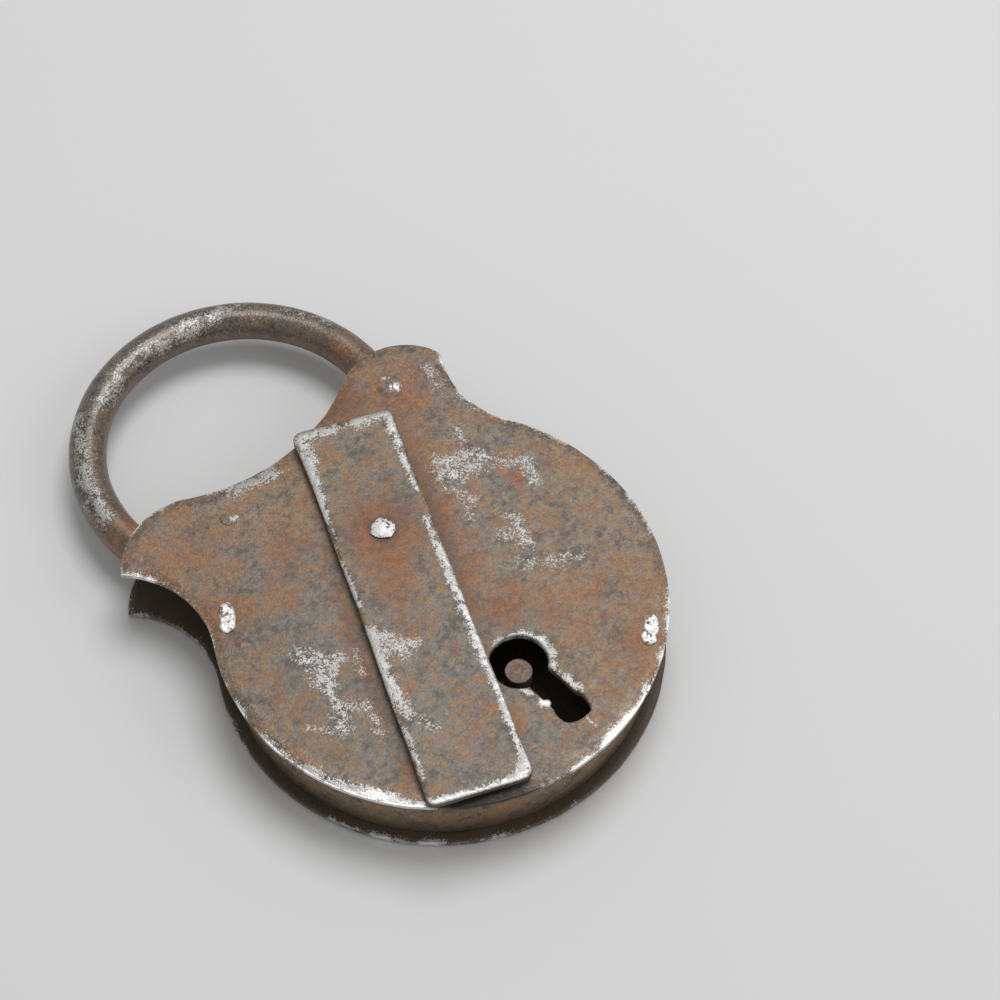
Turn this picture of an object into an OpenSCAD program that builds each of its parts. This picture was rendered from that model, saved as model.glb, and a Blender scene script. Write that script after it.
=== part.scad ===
// Old wrought-iron padlock: two shaped plates on a riveted side band, a round hinged
// shackle, a swinging keyhole cover, and a key-thrown dead bolt inside.
// It lies on its back: +Z out of the front plate, +Y towards the shackle.
// The origin is the centre of the round body, on the back plate's outer face.

/* [Case] */
// Width of the round body
body_w = 90; // [72:1:110]
// Thickness of the case, outer face to outer face of the plates
case_t = 17; // [14:0.5:22]
// Thickness of the front and the back plate
plate_t = 1.6; // [1.2:0.1:2.2]
// How far each flank is cut in from the body's side
flank_depth = 8.8; // [6:0.2:11]
// Radius of the hollow cut in each flank
flank_r = 20; // [16:1:24]
// Height of the two ear tops above the round body's top
ear_rise = 9; // [7.5:0.5:11]
// Height of the dip between the ears above the round body's top
dip_rise = 1.6; // [0.5:0.1:3]
// Radius of the left ear, which the shackle's toe enters
left_ear_r = 16; // [14:0.5:18]
// Distance of the left ear's centre in from the neck's side
left_ear_in = 7.2; // [6:0.2:9]
// Radius of the right ear, which holds the shackle's pivot
right_ear_r = 13.3; // [12:0.1:15.5]
// Distance of the right ear's centre in from the neck's side
right_ear_in = 9.2; // [8:0.2:11]

/* [Side band and top bar] */
// Thickness of the side band
band_t = 2.4; // [1.6:0.1:3.2]
// Distance from the plates' edge in to the band's outer face
band_inset = 2.2; // [1.4:0.1:3.5]
// Angle of the band's end at the left flank
band_left_end = 136; // [134:1:140]
// Angle of the band's end at the right flank
band_right_end = 44; // [40:1:46]
// Thickness of the straight top bar
bar_t = 2.4; // [1.6:0.1:3.2]
// Distance from the dip's edge down to the top bar's middle
bar_inset = 4; // [3:0.2:5]
// Distance from the pivot washers to the top bar's right end
bar_end_gap = 1; // [0.5:0.1:2]
// Width of a band tenon along the band
tenon_w = 5.6; // [4:0.2:7]
// Thickness of a tenon
tenon_t = 1.8; // [1.2:0.1:1.8]
// How far a tenon's hammered head spreads past the tenon on each side
tenon_spread = 0.65; // [0.4:0.05:1]
// Height of a tenon's hammered head above the front plate
tenon_head_h = 0.5; // [0.3:0.05:0.6]
// Width of a top bar tenon
bar_tenon_w = 2.6; // [2:0.2:4]

/* [Shackle] */
// Diameter of the shackle's round bar
shackle_d = 7.8; // [6.5:0.1:9.4]
// Height of the bow's centre above the line from the pivot to the toe's mouth
bow_lift = 10.9; // [4:0.1:18]
// Length of the straight toe below its mouth
toe_len = 16; // [15:0.5:18]
// Chamfer round the toe's end
toe_chamfer = 0.8; // [0.3:0.1:1.5]
// Diameter of the forged eye round the pivot
eye_d = 13; // [10.5:0.5:15]
// How much thicker the forged eye is than the bar
eye_extra = 0.6; // [0.2:0.1:1.2]
// Diameter of the pivot rivet
pivot_d = 4.4; // [3.6:0.1:5.4]
// Diameter of the pivot rivet's head
pivot_head_d = 5.8; // [5.6:0.1:8]
// Height of the pivot rivet's low head
pivot_head_h = 0.55; // [0.3:0.05:0.6]
// Diameter of the washers beside the eye
pivot_washer_d = 11; // [9:0.5:13]

/* [Keyhole and cover] */
// Distance of the keyhole from the body's centre line
key_x = 2.2; // [-4:0.2:6]
// Diameter of the keyhole's round part
keyhole_d = 11.4; // [10:0.2:13]
// Width of the keyhole's slot
slot_w = 5.4; // [5:0.1:6]
// Distance from the keyhole's centre to the slot's bottom
bit_r = 17.2; // [15:0.1:18.5]
// Diameter of the wider foot of the slot
slot_foot_d = 6.4; // [6:0.1:7.4]
// Diameter of the drill pin that the key turns on
pin_d = 5.5; // [4.5:0.1:6]
// Distance of the drill pin's end below the front plate
pin_recess = 2.2; // [1:0.1:4]
// Width of the keyhole cover
cover_w = 20; // [14:0.5:24]
// Thickness of the keyhole cover
cover_t = 1.8; // [1.2:0.1:2.4]
// Distance from the cover's rivet to its upper end
cover_head_len = 26.9; // [18:0.1:34]
// How far the hanging cover reaches below the keyhole
cover_past_slot = 4.2; // [2:0.1:8]
// Radius of the cover's corners
cover_corner_r = 1.2; // [0.4:0.1:3]
// Distance of the cover's rivet right of the body's centre
cover_pivot_x = 1.7; // [-3:0.1:5]
// Distance of the cover's rivet above the body's centre
cover_pivot_y = 18.7; // [14:0.1:24]
// Turn of the cover from straight down, swung clear of the keyhole
cover_turn = -23.6; // [-60:0.1:60]
// Diameter of the cover's rivet
cover_rivet_d = 4; // [3:0.1:4.6]
// Diameter of the cover rivet's head
cover_head_d = 5.6; // [5.4:0.1:8]
// Height of the cover rivet's low head
cover_head_h = 0.8; // [0.5:0.1:1.6]
// Thickness of the washer that lifts the cover over the tenon heads
spacer_t = 0.7; // [0.7:0.1:1.5]
// Diameter of the washers on the cover's rivet
cover_washer_d = 9; // [7.5:0.5:12]

/* [Bolt] */
// Thickness of the bolt
bolt_t = 4; // [3:0.1:5]
// Travel of the bolt
bolt_throw = 4; // [3:0.1:4.5]
// Height of the bolt's nose, across the shackle
nose_h = 4; // [3:0.1:4.4]
// Width of the bolt's upright plate to the left of its guide posts
bolt_left_w = 7; // [5.5:0.5:9]
// Width of the bolt's upright plate to the right of its guide posts
bolt_right_w = 11.5; // [11:0.5:14]
// Length of the two teeth that reach into the key's circle
tooth_len = 4.8; // [3:0.1:6]
// Width of the gap between the teeth
talon_w = 7; // [6:0.2:8]
// Distance from the key's circle up to the lower guide post
low_post_rise = 7.2; // [6.5:0.1:9]
// Distance from the nose down to the upper guide post
high_post_drop = 8.9; // [8:0.1:12]
// Diameter of a guide post's neck
post_d = 4; // [3:0.1:5]
// Diameter of a guide post's collar and of its washer
post_collar_d = 6.8; // [6.4:0.1:8]
// Thickness of a guide post's washer
post_washer_t = 0.8; // [0.6:0.1:1.2]
// Thickness of the leaf spring on the bolt
spring_t = 0.7; // [0.5:0.1:1]
// Diameter of the spring's rivet
spring_rivet_d = 1.6; // [1.2:0.1:2.2]

/* [Clearances] */
// Radial play of the shackle, the cover and the bolt on their pins
run_play = 0.06; // [0.02:0.01:0.1]
// End play of moving pieces between the faces that hold them
end_play = 0.1; // [0.05:0.05:0.3]
// Gap round riveted shanks and tenons in their holes
rivet_play = 0.02; // [0.01:0.01:0.05]

/* [Hidden] */
$fn = 96;

// Cuts run this far past the faces they open
past = 1;
// Arcs that meet smoothly cross by this much, so each outline closes
bite = 0.03;

// Plates
body_r = body_w / 2;
neck_half = body_r - flank_depth;
flank_x = neck_half + flank_r;
flank_y = sqrt(pow(body_r + flank_r - bite, 2) - pow(flank_x, 2));
left_ear = [left_ear_in - neck_half, body_r + ear_rise - left_ear_r];
right_ear = [neck_half - right_ear_in, body_r + ear_rise - right_ear_r];
front_z = case_t - plate_t;
hollow_t = front_z - plate_t;

// The dip between the ears is a circle that touches both ear circles
dip_y = body_r + dip_rise;
dip_drop = ear_rise - dip_rise;
ear_span = (right_ear[0] - left_ear[0]) / sqrt(dip_drop);
left_share = (ear_span + 2 * (left_ear_r - right_ear_r) / ear_span) / 2;
dip_r = (pow(left_share, 2) - 2 * left_ear_r + dip_drop) / 2;
dip_x = left_ear[0] + left_share * sqrt(dip_drop);

// Side band and its three tenons
band_out_r = body_r - band_inset;
band_in_r = band_out_r - band_t;
band_mid_r = band_out_r - band_t / 2;
band_sweep = 360 - band_left_end + band_right_end;
tenon_angles = [142.9, 231.6, 308.4];

// Shackle, in the plane of its bar
shackle_r = shackle_d / 2;
mid_z = case_t / 2;
pivot_offset = [-0.5, 4.3];
mouth_offset = [-3.6, 12.2];
pivot = right_ear + pivot_offset;
mouth = left_ear + mouth_offset;
chord = mouth - pivot;
bow_c = (mouth + pivot) / 2 + bow_lift * [chord[1], -chord[0]] / norm(chord);
bow_r = norm(pivot - bow_c);
heel_angle = atan2(pivot[1] - bow_c[1], pivot[0] - bow_c[0]);
mouth_angle = 360 + atan2(mouth[1] - bow_c[1], mouth[0] - bow_c[0]);
toe_dir = [-sin(mouth_angle), cos(mouth_angle)];
toe_in_side = [-toe_dir[1], toe_dir[0]];
toe_end = mouth + toe_len * toe_dir;
toe_corner = toe_end + shackle_r * toe_in_side;
toe_sweep_r = norm(toe_corner - pivot);
eye_t = shackle_d + eye_extra;
eye_z = mid_z - eye_t / 2;
washer_t = (hollow_t - eye_t) / 2 - end_play;
countersink_share = 0.6;
countersink = plate_t * countersink_share;

// Top bar, clear of the toe's sweep on the left and of the pivot on the right
toe_gap = 2;
bar_y = dip_y - bar_inset;
bar_x0 = pivot[0] - toe_sweep_r + toe_gap;
bar_x1 = pivot[0] - max(eye_d, pivot_washer_d) / 2 - bar_end_gap;
left_tenon_in = 5.4;
right_tenon_in = 10;
bar_tenon_x = [bar_x0 + left_tenon_in, bar_x1 - right_tenon_in];

// Keyhole, drill pin and the key's circle
bit_clear = 2.8;
key_y = bit_r + bit_clear - band_in_r;
bit_top = key_y + bit_r;
slot_foot_y = key_y - bit_r + slot_foot_d / 2;
slot_shift = 0.7;
slot_left = slot_w / 2 - slot_shift;
nub_r = 1;
nub_share = 0.6;

// Cover
cover_len_down = cover_pivot_y - (key_y - bit_r) + cover_past_slot;
cover_z = case_t + spacer_t + end_play;
cover_top_z = cover_z + cover_t;
inner_washer_t = 1;
clench_t = 0.8;
clench_spread = 0.8;

// Bolt, with its nose under the top bar
bolt_z = mid_z - bolt_t / 2;
nose_gap = 0.5;
nose_y1 = bar_y - bar_t / 2 - nose_gap;
nose_y0 = nose_y1 - nose_h;
tip_gap = 0.6;
tip_x = pivot[0] - sqrt(pow(toe_sweep_r, 2) - pow(pivot[1] - nose_y0, 2)) + tip_gap;
notch_gap = 0.3;
notch_floor = tip_x - bolt_throw - notch_gap;
post_x = 0;
high_post_y = nose_y0 - high_post_drop;
low_post_y = bit_top + low_post_rise;
talon_x = key_x + bolt_throw / 2;
talon_clear = 0.3;
shoulder_drop = 4.9;
shoulder_y = nose_y1 - shoulder_drop;
nose_root = 6;

// Leaf spring, from the bolt's shoulder up to the top bar
spring_inset = 0.5;
spring_flat = 5;
spring_len = 12;
spring_gap = 0.2;
spring_x0 = post_x - bolt_left_w + nose_root + spring_inset;
spring_bend_x = spring_x0 + spring_flat;
spring_rivet_x = spring_x0 + spring_flat / 2;
spring_tip_x = spring_x0 + spring_len;
spring_rivet_depth = 3;
spring_rise = bar_y - bar_t / 2 - spring_gap - spring_t - shoulder_y;
rivet_head_spread = 0.7;
rivet_head_t = 0.6;

// Disc of the plates' thickness, or a cutter that runs past both faces
module plate_disc(centre, r, margin = 0) {
    translate([centre[0], centre[1], -margin]) cylinder(r = r, h = plate_t + 2 * margin);
}

// A plate before its holes: round body, two ears, hollow flanks and the dip
module plate_blank() {
    dip_c = [dip_x, dip_y + dip_r];
    difference() {
        union() {
            plate_disc([0, 0], body_r);
            plate_disc(left_ear, left_ear_r);
            plate_disc(right_ear, right_ear_r);
            linear_extrude(plate_t) polygon([
                [0, 0], [-flank_x, flank_y], left_ear,
                dip_c, right_ear, [flank_x, flank_y]
            ]);
        }
        plate_disc([-flank_x, flank_y], flank_r, past);
        plate_disc([flank_x, flank_y], flank_r, past);
        plate_disc(dip_c, dip_r + bite, past);
    }
}

// A tenon's section, grown by a margin, its long side across X
module tenon_shape(width, margin) {
    square([width + 2 * margin, tenon_t + 2 * margin], center = true);
}

// A tenon's spread head: a bar with round ends
module tenon_head(width) {
    head_w = width + 2 * tenon_spread;
    head_t = tenon_t + 2 * tenon_spread;
    linear_extrude(tenon_head_h) {
        square([head_w - head_t, head_t], center = true);
        for (side = [-1, 1])
            translate([side * (head_w - head_t) / 2, 0]) circle(d = head_t);
    }
}

module at_band_tenons() {
    for (a = tenon_angles)
        rotate(a) translate([band_mid_r, 0]) rotate(90) children();
}

module at_bar_tenons() {
    for (x = bar_tenon_x)
        translate([x, bar_y]) children();
}

// Every tenon's hole, cut through a plate
module tenon_holes() {
    translate([0, 0, -past]) linear_extrude(plate_t + 2 * past) {
        at_band_tenons() tenon_shape(tenon_w, rivet_play);
        at_bar_tenons() tenon_shape(bar_tenon_w, rivet_play);
    }
}

// Round hole with a countersink that opens at the back face
module countersunk_hole(d, head_d) {
    flare = (head_d - d) / countersink * past;
    hole_d = d + 2 * rivet_play;
    translate([0, 0, -past]) cylinder(d = hole_d, h = plate_t + 2 * past);
    translate([0, 0, -past])
        cylinder(d1 = head_d + flare + 2 * rivet_play, d2 = hole_d, h = countersink + past);
}

// Shank that fills a countersunk hole in the back plate
module flush_shank(d, head_d, top) {
    cylinder(d = d, h = top);
    cylinder(d1 = head_d, d2 = d, h = countersink);
}

// A low domed head, its flat face at Z = 0
module dome(d, h) {
    ball_r = (pow(d / 2, 2) + h * h) / (2 * h);
    rotate_extrude() intersection() {
        translate([0, h - ball_r]) circle(r = ball_r);
        square([d / 2, h]);
    }
}

// Round hole, slot and wider foot, with a small nub on the slot's left side
module keyhole_shape() {
    difference() {
        union() {
            translate([key_x, key_y]) circle(d = keyhole_d);
            translate([key_x - slot_left, slot_foot_y])
                square([slot_w, key_y - slot_foot_y]);
            translate([key_x + slot_shift, slot_foot_y])
                circle(d = slot_foot_d);
        }
        translate([key_x - slot_left, key_y - bit_r * nub_share]) circle(r = nub_r);
    }
}

module back_plate() {
    color("#4f463f") difference() {
        plate_blank();
        tenon_holes();
        translate(pivot) countersunk_hole(pivot_d, pivot_head_d);
        translate([key_x, key_y]) countersunk_hole(post_d, pin_d);
        for (y = [high_post_y, low_post_y])
            translate([post_x, y]) countersunk_hole(post_d, post_collar_d);
    }
}

module front_plate() {
    color("#6b5546") translate([0, 0, front_z]) difference() {
        plate_blank();
        tenon_holes();
        translate([0, 0, -past]) linear_extrude(plate_t + 2 * past) keyhole_shape();
        plate_disc(pivot, pivot_d / 2 + rivet_play, past);
        plate_disc([cover_pivot_x, cover_pivot_y], cover_rivet_d / 2 + rivet_play, past);
    }
}

// The band follows the round body from the left flank, past the bottom, to the right flank
module side_band() {
    color("#5a4636") {
        translate([0, 0, plate_t]) rotate(band_left_end)
            rotate_extrude(angle = band_sweep)
                translate([band_in_r, 0]) square([band_t, hollow_t]);
        at_band_tenons() linear_extrude(case_t + tenon_head_h / 2) tenon_shape(tenon_w, 0);
        translate([0, 0, case_t]) at_band_tenons() tenon_head(tenon_w);
    }
}

module top_bar() {
    color("#5a4636") {
        translate([bar_x0, bar_y - bar_t / 2, plate_t])
            cube([bar_x1 - bar_x0, bar_t, hollow_t]);
        at_bar_tenons() linear_extrude(case_t + tenon_head_h / 2) tenon_shape(bar_tenon_w, 0);
        translate([0, 0, case_t]) at_bar_tenons() tenon_head(bar_tenon_w);
    }
}

// Round bar bent to a bow, with a straight notched toe and a flattened eye
module shackle() {
    color("#4a423c") difference() {
        union() {
            translate([bow_c[0], bow_c[1], mid_z]) rotate(heel_angle)
                rotate_extrude(angle = mouth_angle - heel_angle)
                    translate([bow_r, 0]) circle(r = shackle_r);
            translate([mouth[0], mouth[1], mid_z])
                rotate([90, 0, mouth_angle - 180]) toe_bar();
            translate([pivot[0], pivot[1], eye_z]) cylinder(d = eye_d, h = eye_t);
        }
        translate([pivot[0], pivot[1], eye_z - past])
            cylinder(d = pivot_d + 2 * run_play, h = eye_t + 2 * past);
        translate([notch_floor, nose_y0 - notch_gap, eye_z - past])
            cube([shackle_d, nose_h + 2 * notch_gap, eye_t + 2 * past]);
    }
}

// The toe starts inside the bow's end, a hair slimmer than the bow
module toe_bar() {
    toe_r = shackle_r - bite;
    translate([0, 0, -past]) cylinder(r = toe_r, h = toe_len - toe_chamfer + past);
    translate([0, 0, toe_len - toe_chamfer])
        cylinder(r1 = toe_r, r2 = toe_r - toe_chamfer, h = toe_chamfer);
}

module pivot_rivet() {
    color("#9b9894") translate([pivot[0], pivot[1], 0]) {
        flush_shank(pivot_d, pivot_head_d, case_t);
        translate([0, 0, case_t]) dome(pivot_head_d, pivot_head_h);
    }
}

module pivot_washer(z) {
    color("#5f5750") translate([pivot[0], pivot[1], z]) difference() {
        cylinder(d = pivot_washer_d, h = washer_t);
        translate([0, 0, -past])
            cylinder(d = pivot_d + 2 * rivet_play, h = washer_t + 2 * past);
    }
}

module front_pivot_washer() {
    pivot_washer(front_z - washer_t);
}

module back_pivot_washer() {
    pivot_washer(plate_t);
}

// Flat bar that hangs from its rivet and swings across the keyhole
module keyhole_cover() {
    inner = cover_w / 2 - cover_corner_r;
    low = -cover_len_down + cover_corner_r;
    high = cover_head_len - cover_corner_r;
    color("#6a5c52") translate([cover_pivot_x, cover_pivot_y, cover_z])
        rotate(cover_turn) linear_extrude(cover_t) difference() {
            union() {
                translate([-cover_w / 2, low]) square([cover_w, high - low]);
                translate([-inner, -cover_len_down])
                    square([2 * inner, cover_len_down + cover_head_len]);
                for (x = [-inner, inner], y = [low, high])
                    translate([x, y]) circle(r = cover_corner_r);
            }
            circle(d = cover_rivet_d + 2 * run_play);
        }
}

// Headed in front and clenched over a washer inside the case
module cover_rivet() {
    tail_z = front_z - inner_washer_t - clench_t;
    color("#a8a5a1") translate([cover_pivot_x, cover_pivot_y, 0]) {
        translate([0, 0, tail_z])
            cylinder(d = cover_rivet_d, h = cover_top_z + end_play - tail_z);
        translate([0, 0, tail_z])
            cylinder(d = cover_rivet_d + 2 * clench_spread, h = clench_t);
        translate([0, 0, cover_top_z + end_play]) dome(cover_head_d, cover_head_h);
    }
}

module cover_washer(z, t) {
    color("#5f5750") translate([cover_pivot_x, cover_pivot_y, z]) difference() {
        cylinder(d = cover_washer_d, h = t);
        translate([0, 0, -past])
            cylinder(d = cover_rivet_d + 2 * rivet_play, h = t + 2 * past);
    }
}

module cover_spacer() {
    cover_washer(case_t, spacer_t);
}

module cover_inner_washer() {
    cover_washer(front_z - inner_washer_t, inner_washer_t);
}

// Stands on a shoulder inside the back plate, its end below the keyhole
module drill_pin() {
    color("#5b4a44") translate([key_x, key_y, 0]) {
        flush_shank(post_d, pin_d, plate_t);
        translate([0, 0, plate_t]) cylinder(d = pin_d, h = hollow_t - pin_recess);
    }
}

// The bolt's outline: nose, upright plate, spring shoulder and two teeth
module bolt_shape() {
    x0 = post_x - bolt_left_w;
    x1 = post_x + bolt_right_w;
    tooth_y = bit_top - tooth_len;
    translate([tip_x, nose_y0]) square([x0 - tip_x + nose_root, nose_h]);
    difference() {
        translate([x0, tooth_y]) square([x1 - x0, shoulder_y - tooth_y]);
        translate([talon_x - talon_w / 2, tooth_y - past])
            square([talon_w, tooth_len + talon_clear + past]);
    }
    translate([x0, shoulder_y - past]) square([nose_root, nose_y1 - shoulder_y + past]);
}

// A guide slot as long as the bolt's travel, starting at a post
module guide_slot() {
    slot_d = post_d + 2 * run_play;
    translate([-end_play, -slot_d / 2]) square([bolt_throw + 2 * end_play, slot_d]);
    translate([-end_play, 0]) circle(d = slot_d);
    translate([bolt_throw + end_play, 0]) circle(d = slot_d);
}

module bolt() {
    color("#5d544c") difference() {
        translate([0, 0, bolt_z]) linear_extrude(bolt_t) difference() {
            bolt_shape();
            for (y = [high_post_y, low_post_y])
                translate([post_x, y]) guide_slot();
        }
        translate([spring_rivet_x, shoulder_y + past, mid_z]) rotate([90, 0, 0])
            cylinder(d = spring_rivet_d + 2 * rivet_play, h = spring_rivet_depth + past);
    }
}

// Flat on the shoulder, then bent up to rub under the top bar
module bolt_spring() {
    lift = [0, spring_t];
    a = [spring_x0, shoulder_y];
    b = [spring_bend_x, shoulder_y];
    c = [spring_tip_x, shoulder_y + spring_rise];
    color("#6e6a66") difference() {
        translate([0, 0, bolt_z]) linear_extrude(bolt_t)
            polygon([a, b, c, c + lift, b + lift, a + lift]);
        translate([spring_rivet_x, shoulder_y + spring_t + past, mid_z]) rotate([90, 0, 0])
            cylinder(d = spring_rivet_d + 2 * rivet_play, h = spring_t + 2 * past);
    }
}

module spring_rivet() {
    color("#8d8a86") translate([spring_rivet_x, shoulder_y + spring_t, mid_z])
        rotate([90, 0, 0]) {
            cylinder(d = spring_rivet_d, h = spring_t + spring_rivet_depth);
            translate([0, 0, -rivet_head_t])
                cylinder(d = spring_rivet_d + 2 * rivet_head_spread, h = rivet_head_t);
        }
}

// Collar under the bolt, neck through its slot, end hammered over a washer
module guide_post(y) {
    collar_z = bolt_z - end_play;
    washer_z = bolt_z + bolt_t + end_play;
    color("#77726d") translate([post_x, y, 0]) {
        flush_shank(post_d, post_collar_d, washer_z + post_washer_t);
        translate([0, 0, plate_t]) cylinder(d = post_collar_d, h = collar_z - plate_t);
        translate([0, 0, washer_z + post_washer_t])
            cylinder(d = post_d + clench_spread, h = clench_t);
    }
}

module guide_washer(y) {
    color("#6b6661") translate([post_x, y, bolt_z + bolt_t + end_play]) difference() {
        cylinder(d = post_collar_d, h = post_washer_t);
        translate([0, 0, -past])
            cylinder(d = post_d + 2 * rivet_play, h = post_washer_t + 2 * past);
    }
}

module high_guide_post() {
    guide_post(high_post_y);
}

module low_guide_post() {
    guide_post(low_post_y);
}

module high_guide_washer() {
    guide_washer(high_post_y);
}

module low_guide_washer() {
    guide_washer(low_post_y);
}

back_plate();
front_plate();
side_band();
top_bar();
shackle();
pivot_rivet();
front_pivot_washer();
back_pivot_washer();
keyhole_cover();
cover_rivet();
cover_spacer();
cover_inner_washer();
drill_pin();
bolt();
bolt_spring();
spring_rivet();
high_guide_post();
low_guide_post();
high_guide_washer();
low_guide_washer();
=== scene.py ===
"""Looks for an old iron padlock: worn, rusted plates on a riveted band, a round shackle and a swung cover.

Lengths are in millimetres inside the mesh code and become metres when a mesh is made.
"""

import math

import bpy
import numpy as np
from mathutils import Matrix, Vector, geometry, kdtree


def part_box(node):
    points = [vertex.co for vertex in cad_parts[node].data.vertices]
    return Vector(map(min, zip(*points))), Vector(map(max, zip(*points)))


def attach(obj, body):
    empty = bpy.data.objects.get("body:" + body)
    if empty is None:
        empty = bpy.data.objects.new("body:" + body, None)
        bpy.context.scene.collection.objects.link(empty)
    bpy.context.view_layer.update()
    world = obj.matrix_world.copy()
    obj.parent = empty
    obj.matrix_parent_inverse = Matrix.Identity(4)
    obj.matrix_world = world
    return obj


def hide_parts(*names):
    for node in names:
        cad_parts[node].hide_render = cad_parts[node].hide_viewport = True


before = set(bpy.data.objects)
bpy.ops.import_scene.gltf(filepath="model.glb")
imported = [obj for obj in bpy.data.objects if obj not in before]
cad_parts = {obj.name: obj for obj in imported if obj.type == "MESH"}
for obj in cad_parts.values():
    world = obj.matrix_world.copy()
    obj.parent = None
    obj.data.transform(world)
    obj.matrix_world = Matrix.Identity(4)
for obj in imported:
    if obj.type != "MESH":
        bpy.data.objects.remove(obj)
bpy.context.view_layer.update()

MM = 0.001
# points nearer than this are one point, in millimetres
WELD_GRID = 0.002

# ---------------------------------------------------------------- noise

# large odd numbers that stir x, y, z and the seed together
STIR = (374761393, 668265263, 1442695041, 1274126177)
LOW_32_BITS, LOW_24_BITS = 0xFFFFFFFF, 0xFFFFFF
# each finer layer of noise: its size, its shift, its strength and its seed's step
LAYER_SCALE, LAYER_SHIFT, LAYER_GAIN, LAYER_SEED = 2.03, 11.7, 0.5, 17


def lattice(ix, iy, iz, seed):
    """A repeatable value from 0 to 1 for each whole-number point."""
    n = (ix * STIR[0] + iy * STIR[1] + iz * STIR[2] + seed * STIR[3]) & LOW_32_BITS
    n = ((n ^ (n >> 13)) * STIR[3]) & LOW_32_BITS
    return ((n ^ (n >> 16)) & LOW_24_BITS) / LOW_24_BITS


def value_noise(points, seed):
    """Smooth noise from -1 to 1, with features one unit across."""
    cell = np.floor(points).astype(np.int64)
    f = points - cell
    f = f * f * f * (f * (f * 6 - 15) + 10)
    total = np.zeros(len(points))
    for dx in (0, 1):
        for dy in (0, 1):
            for dz in (0, 1):
                weight = (
                    (f[:, 0] if dx else 1 - f[:, 0])
                    * (f[:, 1] if dy else 1 - f[:, 1])
                    * (f[:, 2] if dz else 1 - f[:, 2])
                )
                total += weight * lattice(cell[:, 0] + dx, cell[:, 1] + dy, cell[:, 2] + dz, seed)
    return total * 2 - 1


def fractal(points, size, seed, octaves=3):
    """Layered noise from -1 to 1, whose largest features are about size millimetres."""
    total = np.zeros(len(points))
    gain, spread = 1.0, 0.0
    q = points / size
    for k in range(octaves):
        total += gain * value_noise(q, seed + LAYER_SEED * k)
        spread += gain
        gain *= LAYER_GAIN
        q = q * LAYER_SCALE + LAYER_SHIFT
    return total / spread


def loop_noise(loop, size, seed, octaves):
    """Layered noise along a flat loop, which the seed also lifts to a layer of its own."""
    return fractal(np.c_[loop, np.full(len(loop), seed)], size, seed, octaves)[:, None]


def smooth01(x):
    """A soft step: 0 below 0 and 1 above 1."""
    x = np.clip(x, 0, 1)
    return x * x * (3 - 2 * x)


# ---------------------------------------------------------------- outlines from the CAD nodes


def box_mm(node):
    """The node's lowest and highest corners in millimetres."""
    low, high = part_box(node)
    return np.array(low) / MM, np.array(high) / MM


def welded(node):
    """The node's points in millimetres, with doubles joined, and its triangles."""
    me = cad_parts[node].data
    me.calc_loop_triangles()
    tri = np.empty(len(me.loop_triangles) * 3, dtype=np.int64)
    me.loop_triangles.foreach_get("vertices", tri)
    key = np.round(point_values(me, "co") / MM / WELD_GRID).astype(np.int64)
    cells, inverse = np.unique(key, axis=0, return_inverse=True)
    return cells * WELD_GRID, inverse.reshape(-1)[tri.reshape(-1, 3)]


def signed_area(loop):
    """The area inside a loop, above 0 where it runs counter-clockwise."""
    x, y = loop[:, 0], loop[:, 1]
    return 0.5 * np.sum(x * np.roll(y, -1) - np.roll(x, -1) * y)


def face_loops(node, z, tol=0.01):
    """Outlines of the node's flat faces at height z.

    The largest comes first and runs counter-clockwise. The rest are its holes and run clockwise.
    """
    pts, tris = welded(node)
    flat = np.all(np.abs(pts[tris][:, :, 2] - z) < tol, axis=1)
    directed = set()
    for a, b, c in tris[flat].tolist():
        directed.update(((a, b), (b, c), (c, a)))
    after = {a: b for a, b in directed if (b, a) not in directed}
    loops = []
    while after:
        chain, here = [], min(after)
        while here in after:
            chain.append(here)
            here = after.pop(here)
        if len(chain) > 2:
            loops.append(pts[chain][:, :2])
    loops.sort(key=lambda q: -abs(signed_area(q)))
    return [q if (signed_area(q) > 0) == (k == 0) else q[::-1] for k, q in enumerate(loops)]


SOFTEN_ROUNDS = 3


def resample(loop, step, corner_deg=24):
    """Even spacing along each run between corners, with the corners kept."""
    d_in = loop - np.roll(loop, 1, axis=0)
    d_out = np.roll(loop, -1, axis=0) - loop
    a = np.arctan2(d_in[:, 1], d_in[:, 0])
    b = np.arctan2(d_out[:, 1], d_out[:, 0])
    turn = np.abs((b - a + np.pi) % (2 * np.pi) - np.pi)
    corners = np.nonzero(turn > math.radians(corner_deg))[0]
    n = len(loop)
    starts = corners if len(corners) else np.array([0])
    out, fixed = [], []
    for k, s in enumerate(starts):
        e = starts[(k + 1) % len(starts)]
        span = (e - s) % n or n
        run = loop[[(s + j) % n for j in range(span + 1)]]
        length = np.concatenate([[0], np.cumsum(np.linalg.norm(np.diff(run, axis=0), axis=1))])
        count = max(2, int(round(length[-1] / step)))
        at = np.linspace(0, length[-1], count + 1)[:-1]
        out.append(np.stack([np.interp(at, length, run[:, 0]), np.interp(at, length, run[:, 1])], 1))
        fixed += [len(corners) > 0] + [False] * (count - 1)
    pts, fixed = np.concatenate(out), np.array(fixed)
    for _ in range(SOFTEN_ROUNDS):
        soft = 0.25 * np.roll(pts, 1, axis=0) + 0.5 * pts + 0.25 * np.roll(pts, -1, axis=0)
        pts = np.where(fixed[:, None], pts, soft)
    return pts


def outward(loop):
    """Unit normals that point out of the metal, with the metal on the loop's left."""
    t = np.roll(loop, -1, axis=0) - np.roll(loop, 1, axis=0)
    n = np.stack([t[:, 1], -t[:, 0]], 1)
    return n / np.maximum(np.linalg.norm(n, axis=1, keepdims=True), 1e-9)


# how many points are tested at once
BATCH = 4000


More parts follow.
